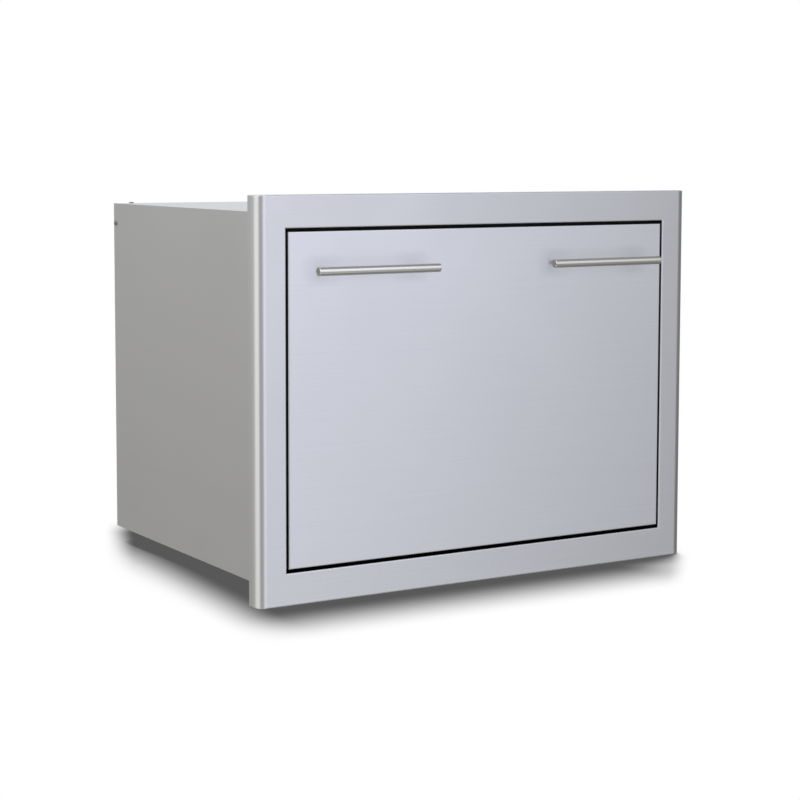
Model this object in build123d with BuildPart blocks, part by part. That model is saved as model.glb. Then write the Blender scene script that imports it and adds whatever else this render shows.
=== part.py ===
"""Built-in twin-bin waste drawer: a sheet-steel cabinet with a face frame, a roll-out drawer on
telescopic ball slides, two bar handles and two lift-out bins.

Millimetres. X runs to the right seen from the front, Y to the back, Z up.
The origin is under the middle of the whole object, at the foot of the face frame.
"""

import os

from build123d import *

os.makedirs("parts", exist_ok=True)

# Face frame
frame_width = 762.0
frame_height = 583.0
frame_border = 47.0
frame_depth = 26.0
frame_sheet = 1.2
frame_edge_radius = 15.0
frame_bend = 2.0
frame_lip = 12.0
opening_lip = 15.0

# Cabinet box
box_inset = 25.0
box_depth = 560.0
box_sheet = 1.0
box_bend = 2.0
box_flange = 15.0
back_flange = 20.0
back_recess = 2.0
stop_flange = 22.0
panel_fit = 0.3
mount_hole_radius = 2.75
mount_hole_setback = 18.0
mount_hole_margin = 85.0

# Drawer front
front_gap_side = 3.3
front_gap_top = 4.5
front_gap_bottom = 5.0
front_depth = 22.0
front_sheet = 1.2
front_bend = 2.0
liner_sheet = 0.9
liner_flange = 14.0

# Handles
bar_radius = 6.35
bar_length = 200.0
bar_chamfer = 0.6
bar_standoff = 34.0
bar_drop = 55.0
handle_margin = 29.2
post_radius = 5.0
post_inset = 25.0
spigot_radius = 3.5
saddle_fit = 0.05

# Telescopic slides
slide_height = 45.0
slide_width = 12.7
slide_back_gap = 8.0
slide_sheet = 1.4
slide_bend = 2.0
slide_setback = 4.0
slide_side_clearance = 2.0
ball_radius = 2.4
race_clearance = 0.1
race_groove = 0.4
race_run = 1.2
lip_turn = 75.0
cage_sheet = 0.4
cage_gap = 0.3
cage_edge = 0.8
cage_end = 18.0
cage_hole_clearance = 0.2
ball_count = 5
ball_pitch = 50.0
bracket_sheet = 1.2
bracket_height = 70.0
bracket_bend = 2.0
bracket_lip = 12.0
bracket_end_gap = 2.0
buffer_length = 5.0
buffer_width = 8.0
buffer_edge = 1.0
buffer_gap = 0.3

# Drawer box
drawer_sheet = 1.0
drawer_bend = 2.0
drawer_flange = 20.0
drawer_hem = 10.0
hem_drop = 8.0
drawer_side_height = 240.0
drawer_back_gap = 18.0
drawer_floor_clearance = 11.0
floor_flange = 15.0
divider_height = 100.0
divider_width = 30.0
divider_foot = 12.0
divider_end_gap = 15.0

# Bins
bin_top_gap = 14.0
bin_wall = 2.4
bin_draft = 2.3
bin_corner = 38.0
bin_bottom_radius = 10.0
bin_rim = 9.0
bin_rim_drop = 14.0
bin_rim_radius = 1.5
bin_gap = 10.0
bin_mouth_gap = 11.0
bin_front_gap = 12.0
bin_back_gap = 48.0

# Fixings
screw_radius = 2.0
screw_head_radius = 4.0
screw_head = 2.2
screw_grip = 3.5
front_screw_grip = 8.0
hole_clearance = 0.1
slide_screw_inset = 50.0
sink_radius = 3.4
access_clearance = 1.6
side_screw_margin = 32.0
floor_screw_inset = 99.0
back_screw_inset = 28.0
back_screw_drop = 32.0
back_screw_margin = 7.0
rivet_head = 1.4
handle_screw_radius = 2.5
handle_screw_head_radius = 5.0
handle_screw_head = 3.0
handle_screw_grip = 14.0
bumper_radius = 6.0
bumper_edge = 1.0
bumper_stem_radius = 2.5
bumper_bulb = 2.5
bumper_bulb_radius = 3.5
bumper_inset = 84.0
bumper_gap = 0.3
bumper_margin = 10.0

# Places worked out from the sizes above
handle_reach = bar_standoff + bar_radius
face_y = handle_reach - (handle_reach + box_depth) / 2
frame_back_y = face_y + frame_depth
box_back_y = face_y + box_depth

opening_width = frame_width - 2 * frame_border
opening_height = frame_height - 2 * frame_border
opening_bottom = frame_border
opening_top = frame_height - frame_border
opening_middle = frame_height / 2

box_half = frame_width / 2 - box_inset
box_bottom = box_inset
box_top = frame_height - box_inset
box_inner_half = box_half - box_sheet
panel_bottom = box_bottom + box_sheet
panel_top = box_top - box_sheet
panel_height = panel_top - panel_bottom
mouth_flange_half = opening_width / 2 - panel_fit
back_depth = box_depth - back_recess
back_flange_depth = back_depth - back_flange
back_screw_x = box_half - back_screw_inset
back_screw_y = box_back_y - back_screw_margin
back_screw_z = box_top - back_screw_drop
stop_bottom = opening_top - stop_flange
bumper_x = opening_width / 2 - bumper_inset
bumper_z = stop_bottom + bumper_margin

front_width = opening_width - 2 * front_gap_side
front_bottom = opening_bottom + front_gap_bottom
front_top = opening_top - front_gap_top
front_height = front_top - front_bottom
front_middle = (front_bottom + front_top) / 2
front_back_y = face_y + front_depth

handle_x = front_width / 2 - handle_margin - bar_length / 2
handle_z = front_top - bar_drop
post_reach = bar_length / 2 - post_inset
post_places = [
    (side * handle_x + end * post_reach, handle_z)
    for side in (-1, 1)
    for end in (-1, 1)
]

slide_outer_x = opening_width / 2 - slide_side_clearance
drawer_half = slide_outer_x - slide_width
slide_front = frame_depth + slide_setback
slide_back = back_flange_depth - slide_back_gap
slide_length = slide_back - slide_front
slide_middle = (slide_front + slide_back) / 2
slide_screw_depths = [slide_front + slide_screw_inset, slide_middle, slide_back - slide_screw_inset]

drawer_bottom = opening_bottom + drawer_floor_clearance
drawer_top = drawer_bottom + drawer_side_height
drawer_depth = back_flange_depth - drawer_back_gap
drawer_back_y = face_y + drawer_depth
drawer_inner_half = drawer_half - drawer_sheet - panel_fit
floor_bottom = drawer_bottom + drawer_sheet
floor_top = floor_bottom + drawer_sheet
floor_mid_half = drawer_half - drawer_flange - panel_fit
slide_z = drawer_bottom + drawer_side_height / 2
side_screw_x = drawer_half - drawer_flange / 2
side_screw_levels = [drawer_bottom + side_screw_margin, slide_z, drawer_top - side_screw_margin]
floor_screw_x = floor_mid_half - floor_screw_inset
floor_screw_z = floor_bottom + floor_flange / 2

race_radius = ball_radius + race_clearance
outer_ball_u = slide_sheet + race_radius + race_run
outer_ball_v = slide_height / 2 - slide_sheet - race_radius
outer_cage_u = slide_sheet + cage_gap
middle_web_u = outer_cage_u + cage_sheet + cage_gap
middle_flange_v = outer_ball_v - race_radius + race_groove
inner_ball_u = slide_width - 2 * slide_sheet - cage_gap - race_radius
inner_ball_v = middle_flange_v - slide_sheet - race_radius
inner_cage_u = middle_web_u + slide_sheet + cage_gap
inner_tip_u = inner_cage_u + cage_sheet + cage_gap
inner_flange_v = inner_ball_v - race_radius + race_groove
ball_row = (ball_count - 1) * ball_pitch
ball_depths = [slide_middle - ball_row / 2 + n * ball_pitch for n in range(ball_count)]

bin_width = opening_width / 2 - bin_mouth_gap - bin_gap / 2
bin_length = drawer_depth - bin_back_gap - front_depth - bin_front_gap
bin_top = stop_bottom - bin_top_gap
bin_height = bin_top - floor_top
bin_x = bin_gap / 2 + bin_width / 2
bin_y = front_back_y + bin_front_gap + bin_length / 2


def behind_face(depth):
    """Upright plane across the object at this depth behind the face; extrusion runs to the front."""
    return Plane.XZ.offset(-(face_y + depth))


def slide_section(depth):
    """Cross-section plane of the left slide: x away from its bracket, y up from its middle."""
    return Plane((-slide_outer_x, face_y + depth, slide_z), x_dir=(1, 0, 0), z_dir=(0, -1, 0))


# Face frame: one formed sheet with rounded upright edges, square returns at top and bottom,
# returns round the opening and lips turned behind
with BuildPart() as face_frame:
    with BuildSketch(Plane.XY) as frame_plan:
        with Locations((0, face_y + frame_depth / 2)):
            Rectangle(frame_width, frame_depth)
        fillet(frame_plan.vertices().group_by(Axis.Y)[0], frame_edge_radius)
    extrude(amount=frame_height)
    fillet(face_frame.edges().filter_by(Axis.X).group_by(Axis.Y)[0], frame_bend)
    with BuildSketch(Plane.XY.offset(frame_sheet)) as hollow_plan:
        with Locations((0, face_y + frame_depth / 2)):
            Rectangle(frame_width - 2 * frame_sheet, frame_depth - 2 * frame_sheet)
        fillet(hollow_plan.vertices().group_by(Axis.Y)[0], frame_edge_radius - frame_sheet)
    extrude(amount=frame_height - 2 * frame_sheet, mode=Mode.SUBTRACT)
    with BuildSketch(behind_face(frame_depth)):
        with Locations((0, opening_middle)):
            Rectangle(frame_width - 2 * frame_lip, frame_height - 2 * frame_lip)
    extrude(amount=frame_sheet, mode=Mode.SUBTRACT)
    with BuildSketch(behind_face(frame_depth)):
        with Locations((0, opening_middle)):
            Rectangle(opening_width + 2 * opening_lip, opening_height + 2 * opening_lip)
    extrude(amount=frame_sheet)
    with BuildSketch(behind_face(frame_depth)):
        with Locations((0, opening_middle)):
            Rectangle(opening_width + 2 * frame_sheet, opening_height + 2 * frame_sheet)
    extrude(amount=frame_depth)
    with BuildSketch(behind_face(frame_depth)):
        with Locations((0, opening_middle)):
            Rectangle(opening_width, opening_height)
    extrude(amount=frame_depth, mode=Mode.SUBTRACT)
    fillet(face_frame.faces().sort_by(Axis.Y)[0].inner_wires().edges(), frame_bend)
face_frame.part.label = "face_frame"
export_step(face_frame.part, "parts/face_frame.step")

# Cabinet sides: folded sheet, with a front flange against the frame's lip and flanges above and below
with BuildPart() as cabinet_left_side:
    with BuildSketch(Plane.XY.offset(panel_bottom)):
        with BuildLine():
            FilletPolyline(
                (-opening_width / 2, frame_back_y),
                (-box_half, frame_back_y),
                (-box_half, box_back_y),
                radius=box_bend,
            )
            offset(amount=box_sheet, side=Side.RIGHT)
        make_face()
    extrude(amount=panel_height)
    for level in (panel_bottom, panel_top - box_sheet):
        with BuildSketch(Plane.XY.offset(level)):
            with Locations((-box_half, frame_back_y + box_bend)):
                Rectangle(
                    box_flange,
                    back_flange_depth - box_sheet - frame_depth - box_bend,
                    align=(Align.MIN, Align.MIN),
                )
        extrude(amount=box_sheet)
    with Locations(Plane.YZ.offset(-box_half)):
        with Locations(
            (frame_back_y + mount_hole_setback, panel_bottom + mount_hole_margin),
            (frame_back_y + mount_hole_setback, panel_top - mount_hole_margin),
        ):
            Hole(mount_hole_radius)
        with Locations((back_screw_y, back_screw_z)):
            Hole(screw_radius + hole_clearance)
cabinet_left_side.part.label = "cabinet_left_side"
export_step(cabinet_left_side.part, "parts/cabinet_left_side.step")

with BuildPart() as cabinet_right_side:
    mirror(cabinet_left_side.part, about=Plane.YZ)
cabinet_right_side.part.label = "cabinet_right_side"
export_step(cabinet_right_side.part, "parts/cabinet_right_side.step")

# Cabinet top: lies on the sides; its front flange hangs behind the frame as the drawer's stop
with BuildPart() as cabinet_top:
    with BuildSketch(Plane.YZ.offset(-mouth_flange_half)):
        with BuildLine():
            FilletPolyline(
                (frame_back_y, stop_bottom),
                (frame_back_y, box_top),
                (box_back_y, box_top),
                radius=box_bend,
            )
            offset(amount=box_sheet, side=Side.RIGHT)
        make_face()
    extrude(amount=2 * mouth_flange_half)
    with BuildSketch(Plane.XY.offset(panel_top)):
        with Locations((-box_half, frame_back_y), (mouth_flange_half, frame_back_y)):
            Rectangle(
                box_half - mouth_flange_half,
                box_depth - frame_depth,
                align=(Align.MIN, Align.MIN),
            )
    extrude(amount=box_sheet)
    with Locations(Plane.XY.offset(box_top)):
        with Locations((-back_screw_x, back_screw_y), (0, back_screw_y), (back_screw_x, back_screw_y)):
            Hole(screw_radius + hole_clearance)
    with Locations(behind_face(frame_depth)):
        with Locations((-bumper_x, bumper_z), (bumper_x, bumper_z)):
            Hole(bumper_stem_radius + hole_clearance)
cabinet_top.part.label = "cabinet_top"
export_step(cabinet_top.part, "parts/cabinet_top.step")

# Cabinet floor: carries the sides; its front flange ends at the opening's lower edge
with BuildPart() as cabinet_floor:
    with BuildSketch(Plane.YZ.offset(-mouth_flange_half)):
        with BuildLine():
            FilletPolyline(
                (frame_back_y, opening_bottom),
                (frame_back_y, box_bottom),
                (box_back_y, box_bottom),
                radius=box_bend,
            )
            offset(amount=box_sheet, side=Side.LEFT)
        make_face()
    extrude(amount=2 * mouth_flange_half)
    with BuildSketch(Plane.XY.offset(box_bottom)):
        with Locations((-box_half, frame_back_y), (mouth_flange_half, frame_back_y)):
            Rectangle(
                box_half - mouth_flange_half,
                box_depth - frame_depth,
                align=(Align.MIN, Align.MIN),
            )
    extrude(amount=box_sheet)
cabinet_floor.part.label = "cabinet_floor"
export_step(cabinet_floor.part, "parts/cabinet_floor.step")

# Cabinet back: a pan whose flanges are turned forward inside the box
with BuildPart() as cabinet_back:
    with BuildSketch(behind_face(back_depth)):
        with Locations((0, opening_middle)):
            Rectangle(2 * box_inner_half, panel_height)
    extrude(amount=back_flange)
    fillet(cabinet_back.faces().sort_by(Axis.Y)[-1].edges(), box_bend)
    with BuildSketch(behind_face(back_depth - box_sheet)):
        with Locations((0, opening_middle)):
            Rectangle(2 * (box_inner_half - box_sheet), panel_height - 2 * box_sheet)
    extrude(amount=back_flange, mode=Mode.SUBTRACT)
    with Locations(Plane.YZ):
        with Locations((back_screw_y, back_screw_z)):
            Hole(screw_radius + hole_clearance)
    with Locations(Plane.XY.offset(panel_top)):
        with Locations((-back_screw_x, back_screw_y), (0, back_screw_y), (back_screw_x, back_screw_y)):
            Hole(screw_radius + hole_clearance, depth=back_flange)
cabinet_back.part.label = "cabinet_back"
export_step(cabinet_back.part, "parts/cabinet_back.step")

# Screws that hold the back pan: one high on each side, three along the top
with BuildPart() as back_panel_screws:
    for side in (-1, 1):
        with BuildSketch(Plane.YZ.offset(side * box_half)):
            with Locations((back_screw_y, back_screw_z)):
                Circle(screw_head_radius)
        extrude(amount=side * screw_head)
        with BuildSketch(Plane.YZ.offset(side * box_half)):
            with Locations((back_screw_y, back_screw_z)):
                Circle(screw_radius)
        extrude(amount=-side * screw_grip)
    with BuildSketch(Plane.XY.offset(box_top)):
        with Locations((-back_screw_x, back_screw_y), (0, back_screw_y), (back_screw_x, back_screw_y)):
            Circle(screw_head_radius)
    extrude(amount=screw_head)
    with BuildSketch(Plane.XY.offset(box_top)):
        with Locations((-back_screw_x, back_screw_y), (0, back_screw_y), (back_screw_x, back_screw_y)):
            Circle(screw_radius)
    extrude(amount=-screw_grip)
back_panel_screws.part.label = "back_panel_screws"
export_step(back_panel_screws.part, "parts/back_panel_screws.step")

# Slide brackets: hat channels welded to the sides, which bring the slides in to the opening
bracket_front = frame_depth + box_sheet + bracket_end_gap
bracket_back = back_flange_depth - bracket_end_gap
bracket_reach = box_inner_half - slide_outer_x
with BuildPart() as slide_left_bracket:
    with BuildSketch(slide_section(bracket_back)):
        with BuildLine():
            FilletPolyline(
                (-bracket_reach, bracket_height / 2 + bracket_lip),
                (-bracket_reach, bracket_height / 2),
                (-bracket_sheet, bracket_height / 2),
                (-bracket_sheet, -bracket_height / 2),
                (-bracket_reach, -bracket_height / 2),
                (-bracket_reach, -bracket_height / 2 - bracket_lip),
                radius=bracket_bend,
            )
            offset(amount=bracket_sheet, side=Side.LEFT)
        make_face()
    extrude(amount=bracket_back - bracket_front)
    with Locations(Plane.YZ.offset(-slide_outer_x)):
        with Locations(*[(face_y + depth, slide_z) for depth in slide_screw_depths]):
            Hole(screw_radius + hole_clearance)
slide_left_bracket.part.label = "slide_left_bracket"
export_step(slide_left_bracket.part, "parts/slide_left_bracket.step")

with BuildPart() as slide_right_bracket:
    mirror(slide_left_bracket.part, about=Plane.YZ)
slide_right_bracket.part.label = "slide_right_bracket"
export_step(slide_right_bracket.part, "parts/slide_right_bracket.step")

# Slide outer members: rolled channels whose lips curl over the outer rows of balls
outer_back = slide_back + buffer_gap + buffer_length
with BuildPart() as slide_left_outer:
    with BuildSketch(slide_section(outer_back)):
        with BuildLine():
            web = Line((slide_sheet, 0), (slide_sheet, outer_ball_v))
            bend = JernArc(web @ 1, web % 1, race_radius, -90)
            run = Line(bend @ 1, bend @ 1 + (race_run, 0))
            JernArc(run @ 1, run % 1, race_radius, -lip_turn)
            offset(amount=slide_sheet, side=Side.LEFT)
        make_face()
        mirror(about=Plane.XZ)
    extrude(amount=outer_back - slide_front)
    with Locations(Plane.YZ.offset(slide_sheet - slide_outer_x)):
        with Locations(*[(face_y + depth, slide_z) for depth in slide_screw_depths]):
            CounterSinkHole(screw_radius + hole_clearance, sink_radius + hole_clearance, slide_sheet, 90)
slide_left_outer.part.label = "slide_left_outer"
export_step(slide_left_outer.part, "parts/slide_left_outer.step")

with BuildPart() as slide_right_outer:
    mirror(slide_left_outer.part, about=Plane.YZ)
slide_right_outer.part.label = "slide_right_outer"
export_step(slide_right_outer.part, "parts/slide_right_outer.step")

# Countersunk screws, flush inside the outer members so that the cages pass over them
with BuildPart() as slide_outer_screws:
    with BuildSketch(Plane.YZ.offset(slide_sheet - slide_outer_x)):
        with Locations(*[(face_y + depth, slide_z) for depth in slide_screw_depths]):
            Circle(sink_radius)
    extrude(amount=screw_radius - sink_radius, taper=45)
    with BuildSketch(Plane.YZ.offset(slide_sheet - slide_outer_x)):
        with Locations(*[(face_y + depth, slide_z) for depth in slide_screw_depths]):
            Circle(screw_radius)
    extrude(amount=-screw_grip - slide_sheet)
    mirror(about=Plane.YZ)
slide_outer_screws.part.label = "slide_outer_screws"
export_step(slide_outer_screws.part, "parts/slide_outer_screws.step")

# Rubber buffers in the rear ends of the outer members, where the other members come to rest
with BuildPart() as slide_buffers:
    with BuildSketch(slide_section(outer_back)):
        with Locations((slide_sheet, 0)):
            Rectangle(buffer_width, 2 * inner_ball_v, align=(Align.MIN, Align.CENTER))
    extrude(amount=buffer_length)
    fillet(slide_buffers.edges().filter_by(Axis.Y), buffer_edge)
    mirror(about=Plane.YZ)
slide_buffers.part.label = "slide_buffers"
export_step(slide_buffers.part, "parts/slide_buffers.step")

# Slide middle members: channels with a grooved race outside and a curled lip over the inner balls;
# two holes in the web let a driver through to the screws of the outer member
with BuildPart() as slide_left_middle:
    with BuildSketch(slide_section(slide_back)):
        with BuildLine():
            channel = Polyline(
                (middle_web_u + slide_sheet, 0),
                (middle_web_u + slide_sheet, middle_flange_v - slide_sheet),
                (inner_ball_u, middle_flange_v - slide_sheet),
            )
            JernArc(channel @ 1, channel % 1, race_radius, -lip_turn)
            offset(amount=slide_sheet, side=Side.LEFT)
        make_face()
        with Locations((outer_ball_u, outer_ball_v)):
            Circle(race_radius, mode=Mode.SUBTRACT)
        mirror(about=Plane.XZ)
    extrude(amount=slide_length)
    with Locations(Plane.YZ.offset(middle_web_u - slide_outer_x)):
        with Locations(*[(face_y + depth, slide_z) for depth in slide_screw_depths[::2]]):
            Hole(sink_radius + access_clearance)
slide_left_middle.part.label = "slide_left_middle"
export_step(slide_left_middle.part, "parts/slide_left_middle.step")

with BuildPart() as slide_right_middle:
    mirror(slide_left_middle.part, about=Plane.YZ)
slide_right_middle.part.label = "slide_right_middle"
export_step(slide_right_middle.part, "parts/slide_right_middle.step")

# Slide inner members: channels on the drawer sides with grooved races
with BuildPart() as slide_left_inner:
    with BuildSketch(slide_section(slide_back)):
        with BuildLine():
            FilletPolyline(
                (slide_width, 0),
                (slide_width, inner_flange_v),
                (inner_tip_u, inner_flange_v),
                radius=slide_bend,
            )
            offset(amount=slide_sheet, side=Side.LEFT)
        make_face()
        with Locations((inner_ball_u, inner_ball_v)):
            Circle(race_radius, mode=Mode.SUBTRACT)
        mirror(about=Plane.XZ)
    extrude(amount=slide_length)
    with Locations(Plane.YZ.offset(slide_width - slide_outer_x)):
        with Locations(*[(face_y + depth, slide_z) for depth in slide_screw_depths]):
            Hole(screw_radius + hole_clearance)
slide_left_inner.part.label = "slide_left_inner"
export_step(slide_left_inner.part, "parts/slide_left_inner.step")

with BuildPart() as slide_right_inner:
    mirror(slide_left_inner.part, about=Plane.YZ)
slide_right_inner.part.label = "slide_right_inner"
export_step(slide_right_inner.part, "parts/slide_right_inner.step")

# Ball cages and balls: each slide has an outer and an inner pair of rows
cage_length = ball_row + 2 * cage_end
cage_front = slide_middle - cage_length / 2
for stage, cage_u, ball_u, ball_v in (
    ("outer", outer_cage_u, outer_ball_u, outer_ball_v),
    ("inner", inner_cage_u, inner_ball_u, inner_ball_v),
):
    with BuildPart() as left_cage:
        with BuildSketch(slide_section(cage_front + cage_length)):
            with Locations((cage_u, 0)):
                Rectangle(
                    ball_u + ball_radius + cage_edge - cage_u,
                    2 * ball_v + cage_sheet,
                    align=(Align.MIN, Align.CENTER),
                )
            with Locations((cage_u + cage_sheet, 0)):
                Rectangle(
                    ball_u + ball_radius + cage_edge - cage_u,
                    2 * ball_v - cage_sheet,
                    align=(Align.MIN, Align.CENTER),
                    mode=Mode.SUBTRACT,
                )
        extrude(amount=cage_length)
        for row in (-1, 1):
            with BuildSketch(Plane.XY.offset(slide_z + row * (ball_v + cage_sheet))):
                with Locations(*[(ball_u - slide_outer_x, face_y + depth) for depth in ball_depths]):
                    Circle(ball_radius + cage_hole_clearance)
            extrude(amount=-row * ball_radius, mode=Mode.SUBTRACT)
    with BuildPart() as right_cage:
        mirror(left_cage.part, about=Plane.YZ)
    with BuildPart() as left_balls:
        with Locations(
            *[
                (ball_u - slide_outer_x, face_y + depth, slide_z + row * ball_v)
                for row in (-1, 1)
                for depth in ball_depths
            ]
        ):
            Sphere(ball_radius)
    with BuildPart() as right_balls:
        mirror(left_balls.part, about=Plane.YZ)
    left_cage.part.label = f"slide_left_{stage}_cage"
    right_cage.part.label = f"slide_right_{stage}_cage"
    left_balls.part.label = f"slide_left_{stage}_balls"
    right_balls.part.label = f"slide_right_{stage}_balls"
    export_step(left_cage.part, f"parts/slide_left_{stage}_cage.step")
    export_step(right_cage.part, f"parts/slide_right_{stage}_cage.step")
    export_step(left_balls.part, f"parts/slide_left_{stage}_balls.step")
    export_step(right_balls.part, f"parts/slide_right_{stage}_balls.step")

# Stop bumpers: push-in rubber buttons in the top's front flange, just behind the drawer front
with BuildPart() as stop_bumpers:
    with BuildSketch(behind_face(frame_depth)):
        with Locations((-bumper_x, bumper_z), (bumper_x, bumper_z)):
            Circle(bumper_radius)
    extrude(amount=frame_depth - front_depth - bumper_gap)
    fillet(stop_bumpers.edges().group_by(Axis.Y)[0], bumper_edge)
    with BuildSketch(behind_face(frame_depth + box_sheet)):
        with Locations((-bumper_x, bumper_z), (bumper_x, bumper_z)):
            Circle(bumper_stem_radius)
    extrude(amount=box_sheet)
    with BuildSketch(behind_face(frame_depth + box_sheet + bumper_bulb)):
        with Locations((-bumper_x, bumper_z), (bumper_x, bumper_z)):
            Circle(bumper_bulb_radius)
    extrude(amount=bumper_bulb)
stop_bumpers.part.label = "stop_bumpers"
export_step(stop_bumpers.part, "parts/stop_bumpers.step")

# Drawer front skin: a pan with rolled front edges, drilled for the handle screws
with BuildPart() as drawer_front_skin:
    with BuildSketch(behind_face(front_depth)):
        with Locations((0, front_middle)):
            Rectangle(front_width, front_height)
    extrude(amount=front_depth)
    fillet(drawer_front_skin.faces().sort_by(Axis.Y)[0].edges(), front_bend)
    with BuildSketch(behind_face(front_depth)):
        with Locations((0, front_middle)):
            Rectangle(front_width - 2 * front_sheet, front_height - 2 * front_sheet)
    extrude(amount=front_depth - front_sheet, mode=Mode.SUBTRACT)
    with Locations(behind_face(0)):
        with Locations(*post_places):
            Hole(handle_screw_radius + hole_clearance)
drawer_front_skin.part.label = "drawer_front_skin"
export_step(drawer_front_skin.part, "parts/drawer_front_skin.step")

# Drawer front liner: a shallower pan nested in the skin from behind
side_screw_places = [(side * side_screw_x, level) for side in (-1, 1) for level in side_screw_levels]
floor_screw_places = [(side * floor_screw_x, floor_screw_z) for side in (-1, 1)]
with BuildPart() as drawer_front_liner:
    with BuildSketch(behind_face(front_depth)):
        with Locations((0, front_middle)):
            Rectangle(front_width - 2 * front_sheet, front_height - 2 * front_sheet)
    extrude(amount=liner_flange)
    fillet(drawer_front_liner.faces().sort_by(Axis.Y)[-1].edges(), liner_sheet)
    with BuildSketch(behind_face(front_depth - liner_sheet)):
        with Locations((0, front_middle)):
            Rectangle(
                front_width - 2 * front_sheet - 2 * liner_sheet,
                front_height - 2 * front_sheet - 2 * liner_sheet,
            )
    extrude(amount=liner_flange, mode=Mode.SUBTRACT)
    with Locations(behind_face(front_depth)):
        with Locations(*post_places):
            Hole(handle_screw_radius + hole_clearance)
        with Locations(*side_screw_places, *floor_screw_places):
            Hole(screw_radius + hole_clearance)
drawer_front_liner.part.label = "drawer_front_liner"
export_step(drawer_front_liner.part, "parts/drawer_front_liner.step")

# Handles: round bars on two posts each, whose spigots stand in blind holes in the bar
for name, side in (("left", -1), ("right", 1)):
    bar_x = side * handle_x
    bar_posts = [(bar_x - post_reach, handle_z), (bar_x + post_reach, handle_z)]
    with BuildPart() as bar:
        with BuildSketch(Plane.YZ.offset(bar_x - bar_length / 2)):
            with Locations((face_y - bar_standoff, handle_z)):
                Circle(bar_radius)
        extrude(amount=bar_length)
        chamfer(bar.edges().filter_by(GeomType.CIRCLE), bar_chamfer)
        with BuildSketch(behind_face(-bar_standoff)):
            with Locations(*bar_posts):
                Circle(spigot_radius + hole_clearance)
        extrude(amount=-2 * bar_radius, mode=Mode.SUBTRACT)
    with BuildPart() as posts:
        with BuildSketch(behind_face(0)):
            with Locations(*bar_posts):
                Circle(post_radius)
        extrude(amount=bar_standoff)
        with BuildSketch(Plane.YZ.offset(bar_x - bar_length / 2)):
            with Locations((face_y - bar_standoff, handle_z)):
                Circle(bar_radius + saddle_fit)
        extrude(amount=bar_length, mode=Mode.SUBTRACT)
        with BuildSketch(behind_face(-bar_standoff / 2)):
            with Locations(*bar_posts):
                Circle(spigot_radius)
        extrude(amount=bar_standoff / 2)
        with BuildSketch(behind_face(0)):
            with Locations(*bar_posts):
                Circle(handle_screw_radius + hole_clearance)
        extrude(amount=handle_screw_grip + hole_clearance, mode=Mode.SUBTRACT)
    bar.part.label = f"handle_{name}_bar"
    posts.part.label = f"handle_{name}_posts"
    export_step(bar.part, f"parts/handle_{name}_bar.step")
    export_step(posts.part, f"parts/handle_{name}_posts.step")

# Handle screws: long screws with their heads on the liner, through the skin into the posts
with BuildPart() as handle_screws:
    with BuildSketch(behind_face(front_depth)):
        with Locations(*post_places):
            Circle(handle_screw_head_radius)
    extrude(amount=-handle_screw_head)
    with BuildSketch(behind_face(front_depth)):
        with Locations(*post_places):
            Circle(handle_screw_radius)
    extrude(amount=front_depth + handle_screw_grip)
handle_screws.part.label = "handle_screws"
export_step(handle_screws.part, "parts/handle_screws.step")

# Drawer sides: folded sheet with end flanges, a foot flange and a safe hem along the top
with BuildPart() as drawer_left_side:
    with BuildSketch(Plane.XY.offset(drawer_bottom)):
        with BuildLine():
            FilletPolyline(
                (drawer_flange - drawer_half, front_back_y),
                (-drawer_half, front_back_y),
                (-drawer_half, drawer_back_y),
                (drawer_flange - drawer_half, drawer_back_y),
                radius=drawer_bend,
            )
            offset(amount=drawer_sheet, side=Side.RIGHT)
        make_face()
    extrude(amount=drawer_side_height)
    with BuildSketch(behind_face(drawer_depth - drawer_bend)):
        with Locations((-drawer_half, drawer_bottom)):
            Rectangle(drawer_flange, drawer_sheet, align=(Align.MIN, Align.MIN))
        with Locations((-drawer_half, drawer_top)):
            Rectangle(drawer_hem, drawer_sheet, align=(Align.MIN, Align.MAX))
        with Locations((drawer_hem - drawer_half, drawer_top)):
            Rectangle(drawer_sheet, hem_drop, align=(Align.MAX, Align.MAX))
    extrude(amount=drawer_depth - front_depth - 2 * drawer_bend)
    with Locations(behind_face(front_depth)):
        with Locations(*[(-side_screw_x, level) for level in side_screw_levels]):
            Hole(screw_radius + hole_clearance)
    with Locations(Plane.YZ.offset(-drawer_half)):
        with Locations(*[(face_y + depth, slide_z) for depth in slide_screw_depths]):
            Hole(screw_radius + hole_clearance)
drawer_left_side.part.label = "drawer_left_side"
export_step(drawer_left_side.part, "parts/drawer_left_side.step")

with BuildPart() as drawer_right_side:
    mirror(drawer_left_side.part, about=Plane.YZ)
drawer_right_side.part.label = "drawer_right_side"
export_step(drawer_right_side.part, "parts/drawer_right_side.step")

# Drawer back: a sheet inside the rear flanges, with a forward hem between the side hems
back_plate_depth = drawer_depth - drawer_sheet
back_plate_half = drawer_half - drawer_bend - panel_fit
back_hem_half = drawer_half - drawer_hem - panel_fit
with BuildPart() as drawer_back:
    with BuildSketch(behind_face(back_plate_depth)):
        with Locations((0, floor_bottom)):
            Rectangle(2 * back_plate_half, drawer_top - floor_bottom, align=(Align.CENTER, Align.MIN))
    extrude(amount=drawer_sheet)
    with BuildSketch(behind_face(back_plate_depth)):
        with Locations((0, drawer_top)):
            Rectangle(2 * back_hem_half, drawer_sheet, align=(Align.CENTER, Align.MAX))
    extrude(amount=drawer_hem)
    with Locations(behind_face(back_plate_depth)):
        with Locations(*side_screw_places):
            Hole(screw_radius + hole_clearance)
drawer_back.part.label = "drawer_back"
export_step(drawer_back.part, "parts/drawer_back.step")

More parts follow.
